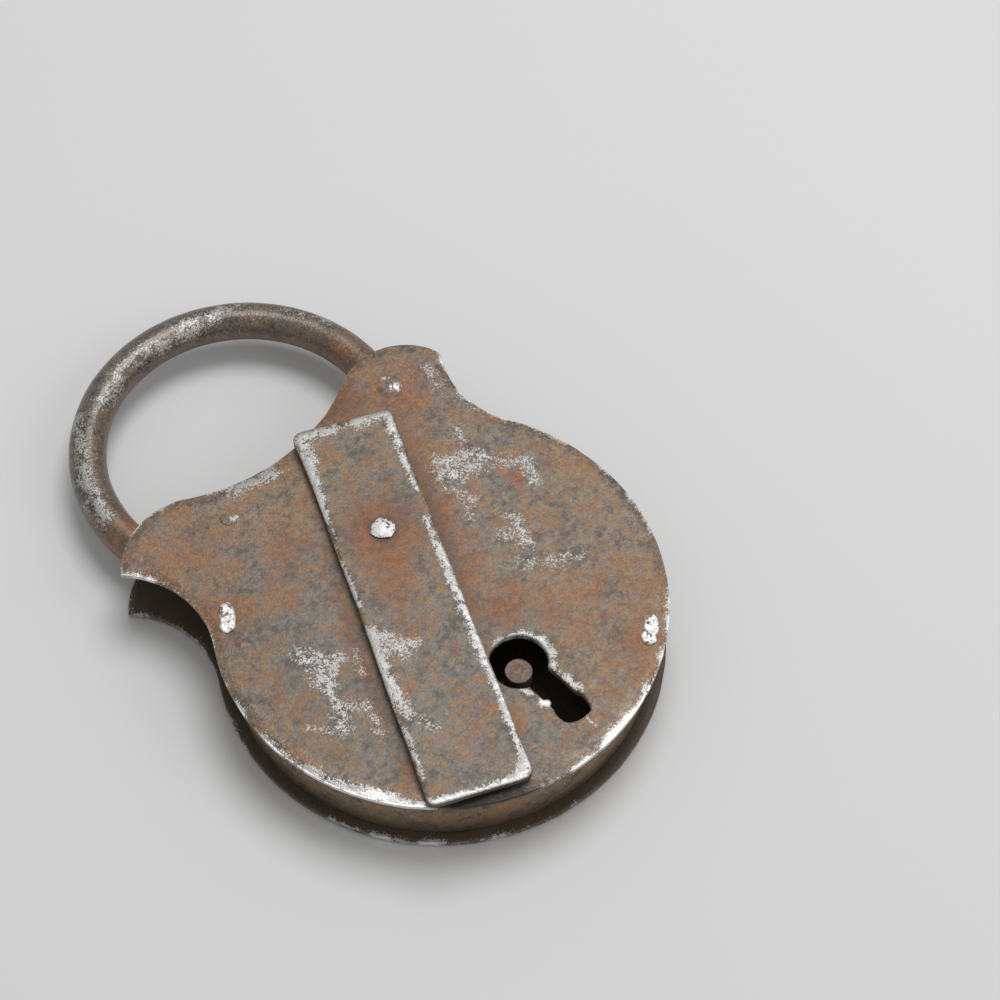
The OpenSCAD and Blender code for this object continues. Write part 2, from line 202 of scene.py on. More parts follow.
def inside(points, loops):
    """Even-odd test of many points against closed loops."""
    hit = np.zeros(len(points), dtype=bool)
    for loop in loops:
        x0, y0 = loop[:, 0], loop[:, 1]
        x1, y1 = np.roll(x0, -1), np.roll(y0, -1)
        for s in range(0, len(points), BATCH):
            px, py = points[s:s + BATCH, 0][:, None], points[s:s + BATCH, 1][:, None]
            spans = (y0 > py) != (y1 > py)
            with np.errstate(divide="ignore", invalid="ignore"):
                cross = px < (x1 - x0) * (py - y0) / (y1 - y0) + x0
            hit[s:s + BATCH] ^= (np.sum(spans & cross, axis=1) % 2).astype(bool)
    return hit


def nearest(points, targets):
    """Distance in the XY plane from each point to the nearest target."""
    tree = kdtree.KDTree(len(targets))
    for i, t in enumerate(targets):
        tree.insert((t[0], t[1], 0), i)
    tree.balance()
    return np.array([tree.find((p[0], p[1], 0))[2] for p in points])


# ---------------------------------------------------------------- meshes


# how far the inner points are shaken, and how near the edge they come, in steps
GRID_SHAKE, EDGE_GAP = 0.18, 0.62


def fill(rings, step):
    """Triangles of the region inside closed rings, with an even grid of points inside it."""
    edge = np.concatenate(rings)
    low, high = edge.min(0), edge.max(0)
    row = step * math.sqrt(3) / 2
    ys = np.arange(low[1] + row / 2, high[1], row)
    xs = np.arange(low[0], high[0], step)
    grid = np.array([(x + (j % 2) * step / 2, y) for j, y in enumerate(ys) for x in xs])
    shake = np.stack([value_noise(np.c_[grid * 7.3, grid[:, :1]], s) for s in (3, 4)], 1)
    grid = grid + GRID_SHAKE * step * shake
    grid = grid[inside(grid, rings)]
    grid = grid[nearest(grid, edge) > EDGE_GAP * step]
    pts = np.concatenate([edge, grid])
    sides, base = [], 0
    for r in rings:
        sides += [(base + i, base + (i + 1) % len(r)) for i in range(len(r))]
        base += len(r)
    result = geometry.delaunay_2d_cdt([Vector(p) for p in pts], sides, [], 0, 1e-7, True)
    back = [ids[0] if ids else -1 for ids in result[3]]
    tri = np.array([[back[i] for i in f] for f in result[2]])
    tri = tri[np.all(tri >= 0, axis=1)]
    tri = tri[inside(pts[tri].mean(1), rings)]
    return pts, tri, len(edge)


BEVEL_TURNS = np.linspace(0, np.pi / 2, 4)


def rim_profile(z0, z1, bevel_low, bevel_high, rows):
    """How far in and how high each ring of a slab's wall lies, from its lower face to its upper."""
    low = [(bevel_low * (1 - math.sin(t)), z0 + bevel_low * (1 - math.cos(t))) for t in BEVEL_TURNS]
    high = [(bevel_high * (1 - math.sin(t)), z1 - bevel_high * (1 - math.cos(t))) for t in BEVEL_TURNS]
    tall = z1 - z0 - bevel_low - bevel_high
    straight = [(0, z0 + bevel_low + s * tall) for s in np.linspace(0, 1, rows + 2)[1:-1]]
    return low + straight + high[::-1]


def wall_faces(sizes, ring_count):
    """Quads between neighbouring rings, each ring made of loops of these sizes."""
    faces = []
    for k in range(ring_count - 1):
        a = k * sum(sizes)
        for count in sizes:
            b = a + sum(sizes)
            faces += [(a + i, a + (i + 1) % count, b + (i + 1) % count, b + i) for i in range(count)]
            a += count
    return faces


def cap(rings, z, step, first_edge, first_new, face_up):
    """A slab's flat face: its inner points, and triangles in the slab's own numbering."""
    flat, tri, edge_len = fill(rings, step)
    inner = np.c_[flat[edge_len:], np.full(len(flat) - edge_len, z)]
    index = np.concatenate([first_edge + np.arange(edge_len), first_new + np.arange(len(inner))])
    a, b, c = flat[tri[:, 0]], flat[tri[:, 1]], flat[tri[:, 2]]
    up = (b[:, 0] - a[:, 0]) * (c[:, 1] - a[:, 1]) - (b[:, 1] - a[:, 1]) * (c[:, 0] - a[:, 0]) > 0
    tri = np.where((up != face_up)[:, None], tri[:, ::-1], tri)
    return inner, [tuple(f) for f in index[tri].tolist()]


def slab(loops, z0, z1, step, bevel_low, bevel_high, rows, low_step=None):
    """Points and faces of a flat piece with rounded rims. low_step is the lower face's own step."""
    profile = rim_profile(z0, z1, bevel_low, bevel_high, rows)
    sides = [outward(q) for q in loops]
    rings_at = [[q - n * inset for q, n in zip(loops, sides)] for inset, _ in profile]
    wall = np.concatenate([
        np.c_[q, np.full(len(q), z)] for rings, (_, z) in zip(rings_at, profile) for q in rings
    ])
    sizes = [len(q) for q in loops]
    low, low_faces = cap(rings_at[0], profile[0][1], low_step or step, 0, len(wall), False)
    last_ring = len(wall) - sum(sizes)
    high, high_faces = cap(rings_at[-1], profile[-1][1], step, last_ring, len(wall) + len(low), True)
    return np.concatenate([wall, low, high]), wall_faces(sizes, len(profile)) + low_faces + high_faces


def make(name, pts, faces, smooth_deg=40):
    """A mesh object from millimetre points."""
    me = bpy.data.meshes.new(name)
    me.from_pydata((pts * MM).tolist(), [], faces)
    me.validate()
    me.update()
    obj = bpy.data.objects.new(name, me)
    bpy.context.scene.collection.objects.link(obj)
    me.shade_smooth()
    me.set_sharp_from_angle(angle=math.radians(smooth_deg))
    return obj


def normals_of(pts, faces):
    """Vertex normals, weighted by face area."""
    n = np.zeros_like(pts)
    for size, spans in ((3, ((0, 1), (0, 2))), (4, ((0, 2), (1, 3)))):
        f = np.array([q for q in faces if len(q) == size])
        if len(f):
            face_n = np.cross(*(pts[f[:, end]] - pts[f[:, start]] for start, end in spans))
            for k in range(size):
                np.add.at(n, f[:, k], face_n)
    return n / np.maximum(np.linalg.norm(n, axis=1, keepdims=True), 1e-12)


def point_values(mesh, what):
    """One 3-D value per vertex, such as co or normal."""
    values = np.empty(len(mesh.vertices) * 3)
    mesh.vertices.foreach_get(what, values)
    return values.reshape(-1, 3)


def move_points(mesh, pts):
    """Puts a mesh's vertices at these millimetre points."""
    mesh.vertices.foreach_set("co", (pts * MM).ravel())
    mesh.update()


def paint(obj, **masks):
    """Stores one number per point under each name, for the materials."""
    for name, values in masks.items():
        layer = obj.data.attributes.new(name, "FLOAT", "POINT")
        layer.data.foreach_set("value", np.ascontiguousarray(values, dtype=np.float32))


# the noise that bends a stroke: its size, and its seeds for x and y
BEND_SIZE, BEND_SEEDS = 3.5, (901, 907)


def strokes(pts, lines, bend=0.0):
    """Soft strokes (x0, y0, x1, y1, half width, strength) in millimetres, the strongest kept."""
    total = np.zeros(len(pts))
    x, y = (pts[:, k] + bend * fractal(pts, BEND_SIZE, BEND_SEEDS[k], 3) for k in (0, 1))
    for x0, y0, x1, y1, width, strength in lines:
        dx, dy = x1 - x0, y1 - y0
        along = np.clip(((x - x0) * dx + (y - y0) * dy) / max(dx * dx + dy * dy, 1e-9), 0, 1)
        gap = np.hypot(x - x0 - along * dx, y - y0 - along * dy)
        total = np.maximum(total, strength * np.exp(-(gap / width) ** 2))
    return total


def patches(pts, spots):
    """Soft blobs at (x, y, radius along, radius across, turn, strength), in millimetres and degrees."""
    total = np.zeros(len(pts))
    for x, y, ru, rv, turn, strength in spots:
        c, s = math.cos(math.radians(turn)), math.sin(math.radians(turn))
        dx, dy = pts[:, 0] - x, pts[:, 1] - y
        u, v = (dx * c + dy * s) / ru, (-dx * s + dy * c) / rv
        total = np.maximum(total, strength * np.exp(-(u * u + v * v)))
    return total


# ---------------------------------------------------------------- materials


class Nodes:
    """A short way to write a material's node tree."""

    def __init__(self, name, shift=(0, 0, 0)):
        self.mat = bpy.data.materials.new(name)
        self.mat.use_nodes = True
        self.tree = self.mat.node_tree
        self.tree.nodes.clear()
        self.out = self.tree.nodes.new("ShaderNodeOutputMaterial")
        place = self.tree.nodes.new("ShaderNodeTexCoord")
        scale = self.tree.nodes.new("ShaderNodeVectorMath")
        scale.operation = "MULTIPLY_ADD"
        self.tree.links.new(place.outputs["Object"], scale.inputs[0])
        scale.inputs[1].default_value = (1 / MM, 1 / MM, 1 / MM)
        scale.inputs[2].default_value = shift
        self.mm = scale.outputs[0]

    def put(self, socket, value):
        if isinstance(value, (int, float, tuple)):
            socket.default_value = value
        else:
            self.tree.links.new(value, socket)

    def noise(self, size, detail=4, rough=0.6, bend=0.0):
        """Noise whose largest features are about size millimetres."""
        n = self.tree.nodes.new("ShaderNodeTexNoise")
        self.put(n.inputs["Vector"], self.mm)
        n.inputs["Scale"].default_value = 1 / size
        n.inputs["Detail"].default_value = detail
        n.inputs["Roughness"].default_value = rough
        n.inputs["Distortion"].default_value = bend
        return n.outputs["Fac"]

    def mask(self, name):
        """The numbers that paint() stored under this name."""
        a = self.tree.nodes.new("ShaderNodeAttribute")
        a.attribute_name = name
        return a.outputs["Fac"]

    def math(self, op, a, b=0.0, clamp=False):
        m = self.tree.nodes.new("ShaderNodeMath")
        m.operation = op
        m.use_clamp = clamp
        self.put(m.inputs[0], a)
        self.put(m.inputs[1], b)
        return m.outputs[0]

    def blend(self, a, b, share):
        """a and b mixed by a plain number, share being b's part."""
        return self.math("ADD", self.math("MULTIPLY", a, 1 - share), self.math("MULTIPLY", b, share))

    def step(self, value, low, high, out_low=0.0, out_high=1.0):
        """A soft step from out_low to out_high, as the value goes from low to high."""
        r = self.tree.nodes.new("ShaderNodeMapRange")
        r.interpolation_type = "SMOOTHSTEP"
        self.put(r.inputs["Value"], value)
        self.put(r.inputs["From Min"], low)
        self.put(r.inputs["From Max"], high)
        self.put(r.inputs["To Min"], out_low)
        self.put(r.inputs["To Max"], out_high)
        return r.outputs[0]

    def mix(self, fac, a, b):
        m = self.tree.nodes.new("ShaderNodeMix")
        m.data_type = "RGBA"
        self.put(m.inputs[0], fac)
        self.put(m.inputs[6], a)
        self.put(m.inputs[7], b)
        return m.outputs[2]

    def tint(self, color, amount):
        m = self.tree.nodes.new("ShaderNodeVectorMath")
        m.operation = "SCALE"
        self.put(m.inputs[0], color)
        self.put(m.inputs["Scale"], amount)
        return m.outputs[0]

    def shader(self, color, metallic, roughness, height, depth_mm):
        bump = self.tree.nodes.new("ShaderNodeBump")
        bump.inputs["Distance"].default_value = depth_mm * MM
        bump.inputs["Strength"].default_value = 1.0
        self.put(bump.inputs["Height"], height)
        p = self.tree.nodes.new("ShaderNodeBsdfPrincipled")
        self.put(p.inputs["Base Color"], color)
        self.put(p.inputs["Metallic"], metallic)
        self.put(p.inputs["Roughness"], roughness)
        self.put(p.inputs["Normal"], bump.outputs[0])
        self.tree.links.new(p.outputs[0], self.out.inputs[0])
        return self.mat


def srgb(r, g, b):
    """A colour from its 0-255 display values."""
    def line(v):
        v /= 255
        return v / 12.92 if v <= 0.04045 else ((v + 0.055) / 1.055) ** 2.4
    return (line(r), line(g), line(b), 1.0)


# bare metal, a painted glint for its brightest highlights, and the stains that all the iron shares
BARE = srgb(188, 187, 184)
PAINTED_GLINT = srgb(232, 231, 230)
RUST = srgb(166, 114, 74)
RUST_DEEP = srgb(122, 84, 60)
STAIN = srgb(138, 92, 66)
TAN = srgb(152, 126, 88)
MAUVE = srgb(124, 108, 104)


# how far each seed moves the noise along x, y and z, in millimetres
SEED_SHIFT = (13.7, 7.1, 3.3)
BARE_ROUGHNESS = 0.48
BUMP_MM = 0.14


class Iron(Nodes):
    """Old iron, in layers that share one set of noises, from broad clouds to fine flecks."""

    def __init__(self, name, seed):
        super().__init__(name, tuple(seed * shift for shift in SEED_SHIFT))
        self.broad = self.noise(24, 3, 0.55, 0.3)
        self.cloud = self.noise(6, 5, 0.62, 0.5)
        self.blotch = self.noise(3.4, 4, 0.6, 0.7)
        self.mottle = self.noise(1.7, 4, 0.66, 0.6)
        self.hue = self.noise(1.3, 3, 0.6, 0.4)
        self.grain = self.noise(0.5, 2, 0.6)
        self.fleck = self.noise(0.38, 2, 0.65, 0.6)
        self.bare, self.rust, self.grime, self.polish = map(self.mask, ("bare", "rust", "grime", "polish"))

    def patina(self, cool, warm, dark, tan):
        """Cool and warm clouds with tan, mauve and dark mottles."""
        color = self.mix(self.step(self.blend(self.broad, self.cloud, 0.5), 0.4, 0.6), cool, warm)
        tan_share = self.step(self.blend(self.hue, self.mottle, 0.4), 0.5, 0.6, 0.0, 0.6)
        color = self.mix(tan_share, color, tan)
        mauve_share = self.step(self.blend(self.hue, self.cloud, 0.3), 0.38, 0.48, 0.5, 0.0)
        color = self.mix(mauve_share, color, MAUVE)
        dark_share = self.step(self.blend(self.mottle, self.cloud, 0.45), 0.36, 0.52, 0.8, 0.0)
        return self.mix(dark_share, color, dark)

    def rusting(self, color, rust):
        """Adds brown stains and soft orange blotches. Gives the colour and the blotches' share."""
        stained = self.step(self.blend(self.cloud, self.mottle, 0.5), 0.3, 0.62, 0.25, 0.8)
        color = self.mix(self.math("MULTIPLY", self.rust, stained, True), color, STAIN)
        density = self.math("ADD", self.math("MULTIPLY", self.rust, 0.05), rust * 0.16 - 0.08)
        blotch = self.blend(self.blend(self.blotch, self.hue, 0.25), self.cloud, 0.35)
        share = self.step(self.math("ADD", blotch, density), 0.46, 0.62, 0.0, 0.6)
        orange = self.step(self.blend(self.hue, self.cloud, 0.4), 0.42, 0.58)
        return self.mix(share, color, self.mix(orange, RUST_DEEP, RUST)), share

    def soiling_and_shading(self, color, dark):
        """Adds fine grain, then the dark colour from a mask of soil and painted shade: up to 1 it covers,
        and above 1 it darkens further as painted shadow.
        """
        color = self.tint(color, self.step(self.blend(self.grain, self.fleck, 0.5), 0.36, 0.64, 0.72, 1.26))
        color = self.mix(self.math("MULTIPLY", self.grime, 0.85, True), color, dark)
        # above 1 the mask is painted shadow, darker than the dark colour
        return self.tint(color, self.step(self.grime, 1.0, 2.0, 1.0, 0.35))

    def wearing_and_glint(self, color, bare_color):
        """Adds speckled bare metal, with a painted sheen where polished and a painted glint where most
        worn. Gives the colour and the metal's share.
        """
        uneven = self.step(self.blend(self.mottle, self.cloud, 0.3), 0.36, 0.56, 0.55, 1.1)
        worn = self.math("MULTIPLY", self.bare, uneven)
        fine = self.blend(self.fleck, self.grain, 0.35)
        share = self.step(self.math("ADD", fine, self.math("MULTIPLY", worn, 0.28)), 0.66, 0.77, 0.0, 0.95)
        # painted sheen: a smooth share of the bright bare colour along polished rims
        sheen = self.math("MULTIPLY", self.polish, self.step(self.bare, 0.6, 1.9, 0.0, 0.8), True)
        share = self.math("MAXIMUM", share, sheen)
        # painted glint: where the bare mask passes 1.15, as on the glare bands, the keyhole's burr and the
        # rivet and tenon heads, the bare colour turns to the painted highlight
        return self.mix(share, color, self.mix(self.step(self.bare, 1.15, 1.9), bare_color, PAINTED_GLINT)), share

    def metalness(self, rust_share, bare_share, metal, shine):
        """Less where rusty, more where bare or polished."""
        clean = self.step(rust_share, 0.0, 0.75, 1.0, 0.35)
        metallic = self.math("MULTIPLY", self.step(bare_share, 0.0, 1.0, metal, shine), clean)
        return self.math("ADD", metallic, self.math("MULTIPLY", self.polish, 0.35), True)

    def roughness(self, rust_share, bare_share, rough):
        """More where rusty, less where polished, and uneven with the grain."""
        value = self.step(bare_share, 0.0, 1.0, rough, BARE_ROUGHNESS)
        value = self.math("ADD", value, self.math("MULTIPLY", rust_share, 0.2))
        value = self.math("SUBTRACT", value, self.math("MULTIPLY", self.polish, 0.2))
        return self.math("ADD", value, self.step(self.grain, 0.35, 0.65, -0.05, 0.07), True)

    def relief(self, bare_share):
        """The bump's height: mottles and grain, with the bare metal a little proud."""
        proud = self.math("MULTIPLY", bare_share, 0.15)
        return self.math("ADD", self.blend(self.mottle, self.grain, 0.5), proud)


def iron(
    name, cool, warm, dark, tan=TAN, rust=0.5, metal=0.3, rough=0.52, bare_color=BARE, shine=0.55, seed=0,
):
    """An old iron finish.

    rust is the plain surface's share of rust, and the painted masks add the rest. metal and rough are the
    plain surface's metallic and roughness values, and shine is the bare metal's metallic value.
    """
    t = Iron(name, seed)
    color, rust_share = t.rusting(t.patina(cool, warm, dark, tan), rust)
    color, bare_share = t.wearing_and_glint(t.soiling_and_shading(color, dark), bare_color)
    metallic = t.metalness(rust_share, bare_share, metal, shine)
    roughness = t.roughness(rust_share, bare_share, rough)
    return t.shader(color, metallic, roughness, t.relief(bare_share), BUMP_MM)


def floor_material():
    """Plain pale grey, with only a trace of unevenness."""
    t = Nodes("pale_floor")
    soft = t.noise(90, 2, 0.5)
    color = t.mix(soft, (0.70, 0.70, 0.70, 1), (0.71, 0.71, 0.71, 1))
    return t.shader(color, 0.0, 0.9, soft, 0.0)


FRONT = iron("front_iron_finish", srgb(117, 114, 109), srgb(134, 115, 96), srgb(82, 72, 64), rust=0.5)
BACK = iron("back_iron_finish", srgb(108, 100, 92), srgb(116, 98, 82), srgb(84, 74, 60), rust=0.4, seed=3)
BAND = iron("band_iron_finish", srgb(138, 122, 102), srgb(142, 118, 92), srgb(62, 54, 45), rust=0.2, seed=5)
COVER = iron(
    "cover_iron_finish", srgb(117, 115, 110), srgb(132, 116, 98), srgb(82, 74, 66), rust=0.42, seed=8,
)
SHACKLE = iron(
    "shackle_iron_finish", srgb(114, 112, 109), srgb(120, 110, 98), srgb(78, 71, 65),
    rust=0.04, metal=0.45, rough=0.4, seed=11, tan=srgb(116, 108, 94),
)
RIVET = iron(
    "bare_rivet_finish", srgb(132, 130, 132), srgb(126, 118, 112), srgb(86, 78, 74),
    rust=0.0, metal=0.3, rough=0.5, bare_color=srgb(216, 215, 216), shine=0.2, seed=14,
)
INNER = iron("inner_iron_finish", srgb(86, 78, 70), srgb(94, 76, 60), srgb(44, 36, 32), rust=0.5, seed=17)
PIN = iron("pin_iron_finish", srgb(118, 100, 92), srgb(112, 92, 82), srgb(70, 56, 50), rust=0.25, seed=20)
SPRING = iron(
    "spring_steel_finish", srgb(96, 94, 94), srgb(104, 92, 82), srgb(56, 50, 46),
    rust=0.3, metal=0.6, rough=0.38, seed=23,
)


def wear(obj, material, body, slot, *nodes):
    """Gives a new piece its finish and its body, and hides the CAD nodes it stands for."""
    obj.data.materials.clear()
    obj.data.materials.append(material)
    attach(obj, body)
    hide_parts(*nodes)


# ---------------------------------------------------------------- plates

# spacing of points and width of the rounded rim, on the outer face and on the hidden inner one
PLATE_STEP, INNER_STEP = 0.45, 1.1
PLATE_BEVEL, INNER_BEVEL = 0.38, 0.25
# a hole with more area than this is the keyhole, in square millimetres
KEYHOLE_AREA = 60
# how ragged the outline and the keyhole are, and how far a filed corner reaches
EDGE_RAGGED, KEYHOLE_RAGGED, FILED_AREA = 0.10, 0.22, 1.4
# how far the outer face droops at its rim, and over what width
DROOP, DROOP_WIDTH = 0.4, 3.4

# Places on the lock, in millimetres. BARE, RIM and GLARE lists hold strokes: start x and y, end x and y,
# half width, strength. RUST, GRIME, CLEAN and SHADE lists hold blobs: x, y, radius along, radius across,
# turn in degrees, strength.
FRONT_BARE = [
    (-28.4, 9.6, -23.4, 3.4, 2.0, 0.98), (-27.5, 8.0, -29.0, 0.5, 2.2, 0.98),
    (-24.0, 3.6, -28.0, -0.4, 2.0, 1.0), (-28.6, -0.8, -30.0, -4.0, 2.2, 1.05),
    (-30.2, -4.0, -33.0, -8.0, 2.8, 0.98), (-36.8, -4.0, -35.0, -7.0, 1.8, 0.75),
    (-29.0, -5.0, -26.1, -7.5, 1.9, 0.8), (-26.1, -7.5, -28.0, -14.0, 1.6, 0.78),
    (-19.8, 2.8, -22.2, -2.2, 1.3, 0.8), (22.0, 24.0, 28.7, 19.9, 2.8, 0.97),
    (19.6, 21.7, 25.2, 18.2, 2.8, 0.97), (28.8, 17.4, 33.8, 13.5, 2.2, 0.72),
    (33.4, 8.0, 34.2, 12.6, 2.2, 0.9), (18.5, 18.5, 20.2, 13.3, 1.9, 0.75),
    (20.0, 13.3, 17.2, 9.8, 2.1, 0.65), (24.2, 5.0, 21.8, -1.0, 2.4, 0.92),
    (19.4, 2.9, 21.8, -1.0, 2.2, 0.75), (18.4, -4.6, 23.7, -9.1, 2.2, 0.72),
    (23.7, -9.1, 27.8, -10.4, 2.2, 0.72), (29.8, 27.6, 29.0, 25.2, 2.3, 0.75),
    (-13.0, 47.4, -4.5, 44.4, 2.2, 1.15), (-17.7, 41.9, -17.1, 41.6, 0.9, 1.3),
    (35.6, 42.5, 33.8, 37.2, 2.3, 0.72), (35.2, 34.0, 36.4, 27.5, 0.9, 0.7),
]
# painted glare: broad bands of painted highlight along the rim, laid into the bare mask
FRONT_PAINTED_GLARE = [
    (-43.8, -7.0, -42.4, -13.0, 2.5, 0.8), (-41.0, -17.5, -36.5, -25.5, 3.2, 2.3),
    (-36.5, -25.5, -32.0, -32.0, 3, 1.7), (3.0, -45.0, 10.0, -44.0, 3, 0.8),
    (12.0, -43.5, 24.0, -37.8, 4, 0.5), (24.0, -37.8, 31.0, -32.0, 3, 0.35),
]
KEYHOLE_BARE = [
    (1.5, -14.2, 6.8, -15.8, 0.9, 0.9), (6.8, -16.0, 8.8, -20.0, 1.3, 1.1),
    (8.8, -20.0, 7.8, -23.6, 1.6, 1.1), (6.6, -25.0, 6.2, -27.4, 1.1, 0.95),
    (6.6, -29.2, 6.8, -32.6, 1.3, 1.0), (-1.8, -25.4, -0.8, -27.8, 0.7, 0.9),
    (-0.6, -30.2, 0.4, -31.2, 1.1, 1.4), (3.5, -37.9, 3.4, -41.6, 0.35, 0.9),
]
# worn rims; the same strokes set how polished the rim is, which lays the painted sheen there
FRONT_RIM = [
    (-41.3, 46.8, -38.5, 42.4, 3, 1.1), (-38.5, 42.4, -35.5, 36.0, 3, 0.9),
    (-35.5, 36.0, -40.0, 18.0, 5, 0.4), (-43.0, 9.5, -44.1, -0.7, 5, 0.8),
    (-44.1, -0.7, -40.6, -16.9, 5, 1.0), (-40.6, -16.9, -32.2, -30.3, 5, 1.1),
    (-32.2, -30.3, -14.5, -43.0, 5, 0.8), (-3.1, -45.0, 18.7, -41.2, 5, 0.9),
    (18.7, -41.2, 32.2, -30.0, 4, 0.65), (42.0, -12.0, 42.0, 4.0, 5, 0.7), (42.0, 4.0, 37.0, 26.0, 6, 0.8),
    (38.0, 26.0, 37.7, 40.8, 4, 0.9), (-30.0, 52.8, -6.0, 44.0, 5, 0.6), (2.0, -12.8, 8.0, -17.0, 2, 1.3),
    (8.4, -18.0, 7.0, -27.0, 2, 1.0),
]
# where the iron stayed grey
FRONT_CLEAN = [
    (-30.0, 8.0, 14.0, 16.0, 0, 0.7), (-24.0, -20.0, 14.0, 12.0, 0, 0.8),
    (-14.0, 40.0, 14.0, 6.0, -15, 0.5), (14.0, 2.0, 5.0, 7.0, 0, 0.5),
]
# painted shadow on the rim under the cover's foot
FRONT_SHADE = [(-22.5, -39.5, 9.5, 3.4, -27.8, 1.6)]
# where the keyhole's foot was filed square: place and push
FOOT_CORNERS = [(-0.9, -36.6, -0.5, -0.5), (5.0, -36.9, 0.4, -0.5)]
FRONT_RUST = [
    (-33.0, 25.0, 6.0, 6.0, 0, 1.3), (24.5, 41.5, 9.0, 7.0, 0, 1.0), (17.0, 47.0, 6.0, 6.0, 0, 1.4),
    (23.5, -33.5, 6.0, 6.0, 0, 1.0), (30.8, 10.5, 1.5, 1.2, 0, 1.6), (10.6, 2.9, 6.0, 4.0, 60, 1.0),
    (8.8, -8.8, 5.0, 6.0, 60, 1.1), (16.0, -18.0, 9.0, 5.0, -40, 0.4), (-26.4, 41.6, 9.0, 6.0, 0, 0.7),
    (-37.0, 42.0, 5.0, 5.0, 0, 0.7), (-22.9, 21.3, 7.0, 5.0, 30, 0.6), (-14.0, 30.0, 8.0, 4.0, 60, 0.8),
    (19.0, 26.0, 4.0, 10.0, -10, 0.5), (13.0, 14.0, 30.0, 3.4, 66.5, 0.9),
    (-21.4, -3.0, 28.0, 2.6, 66.4, 0.8), (-38.0, 5.0, 4.0, 9.0, 0, 0.5), (-24.0, -26.0, 4.0, 3.0, 0, 0.7),
    (30.0, -22.0, 8.0, 5.0, -40, 0.4),
]
# darker patches on the outer face: strips along both long edges of the cover where it lies at rest, near
# the left neck, near the right ear, beside the keyhole, and a faint broad one over the left half
FRONT_DARKENING = [
    (11.6, 14.0, 28.0, 2.0, 66.5, 0.6), (-20.8, -3.0, 28.0, 2.0, 66.4, 0.45),
    (-40.0, 33.0, 5.0, 5.0, 0, 0.3), (15.0, 49.0, 6.0, 5.0, 0, 0.4), (8.0, -21.0, 2.0, 9.0, 0, 0.25),
    (-31.0, 2.0, 15.0, 26.0, 0, 0.18),
]


def plate_loops(node, z, filed, seed):
    """The plate's outline and holes, the outline and the keyhole cut a little ragged."""
    loops = []
    for k, q in enumerate(face_loops(node, z)):
        q = resample(q, PLATE_STEP)
        keyhole = k > 0 and abs(signed_area(q)) > KEYHOLE_AREA
        ragged = EDGE_RAGGED if k == 0 else (KEYHOLE_RAGGED if keyhole else 0.0)
        q = q - outward(q) * ragged * (0.6 + loop_noise(q, 3.0, seed, 3))
        for x, y, push_x, push_y in filed if keyhole else []:
            near = np.exp(-np.sum((q - (x, y)) ** 2, axis=1) / FILED_AREA)
            q = q + near[:, None] * (push_x, push_y)
        loops.append(q)
    return loops


def plate_relief(pts, far_edge, seed):
    """Shallow dents and pits, and a rim that droops, in millimetres out of the outer face."""
    wave = 0.10 * fractal(pts, 24, seed + 1, 2) - 0.05
    pits = -0.05 * smooth01((fractal(pts, 1.5, seed + 2, 3) - 0.12) * 4)
    small = 0.016 * fractal(pts, 0.9, seed + 3, 2)
    droop = DROOP * smooth01(1 - far_edge / DROOP_WIDTH) ** 2
    return np.minimum(wave, 0.02) + pits + small - droop


def chipped(pts, seed):
    """Patches from 0 to 1 that break up a worn rim."""
    return smooth01(0.5 + 1.6 * fractal(pts, 4, seed + 5, 3))


def plate_bare_and_glare(pts, places, far, on_face, seed):
    """Bare metal along the rims and in strokes on the outer face, with the painted glare along the rims
    added as bare metal.
    """
    chips = chipped(pts, seed)
    rim = strokes(pts, places["rim"])
    edge = (places["all_round"] + rim) * np.exp(-far / 0.5) * (0.5 + chips)
    edge += 0.6 * rim * np.exp(-far / 1.4) * chips
    # painted glare: a broad band of highlight along the rim
    edge += strokes(pts, places.get("glare", [])) * np.exp(-(far / 2.2) ** 2) * (0.65 + 0.45 * chips)
    soft = 0.95 * strokes(pts, places["bare"], 1.6)
    crisp = 1.25 * strokes(pts, places.get("crisp", []), 0.5)
    return np.maximum(np.maximum(soft, crisp) * on_face, np.minimum(edge, 2.0))


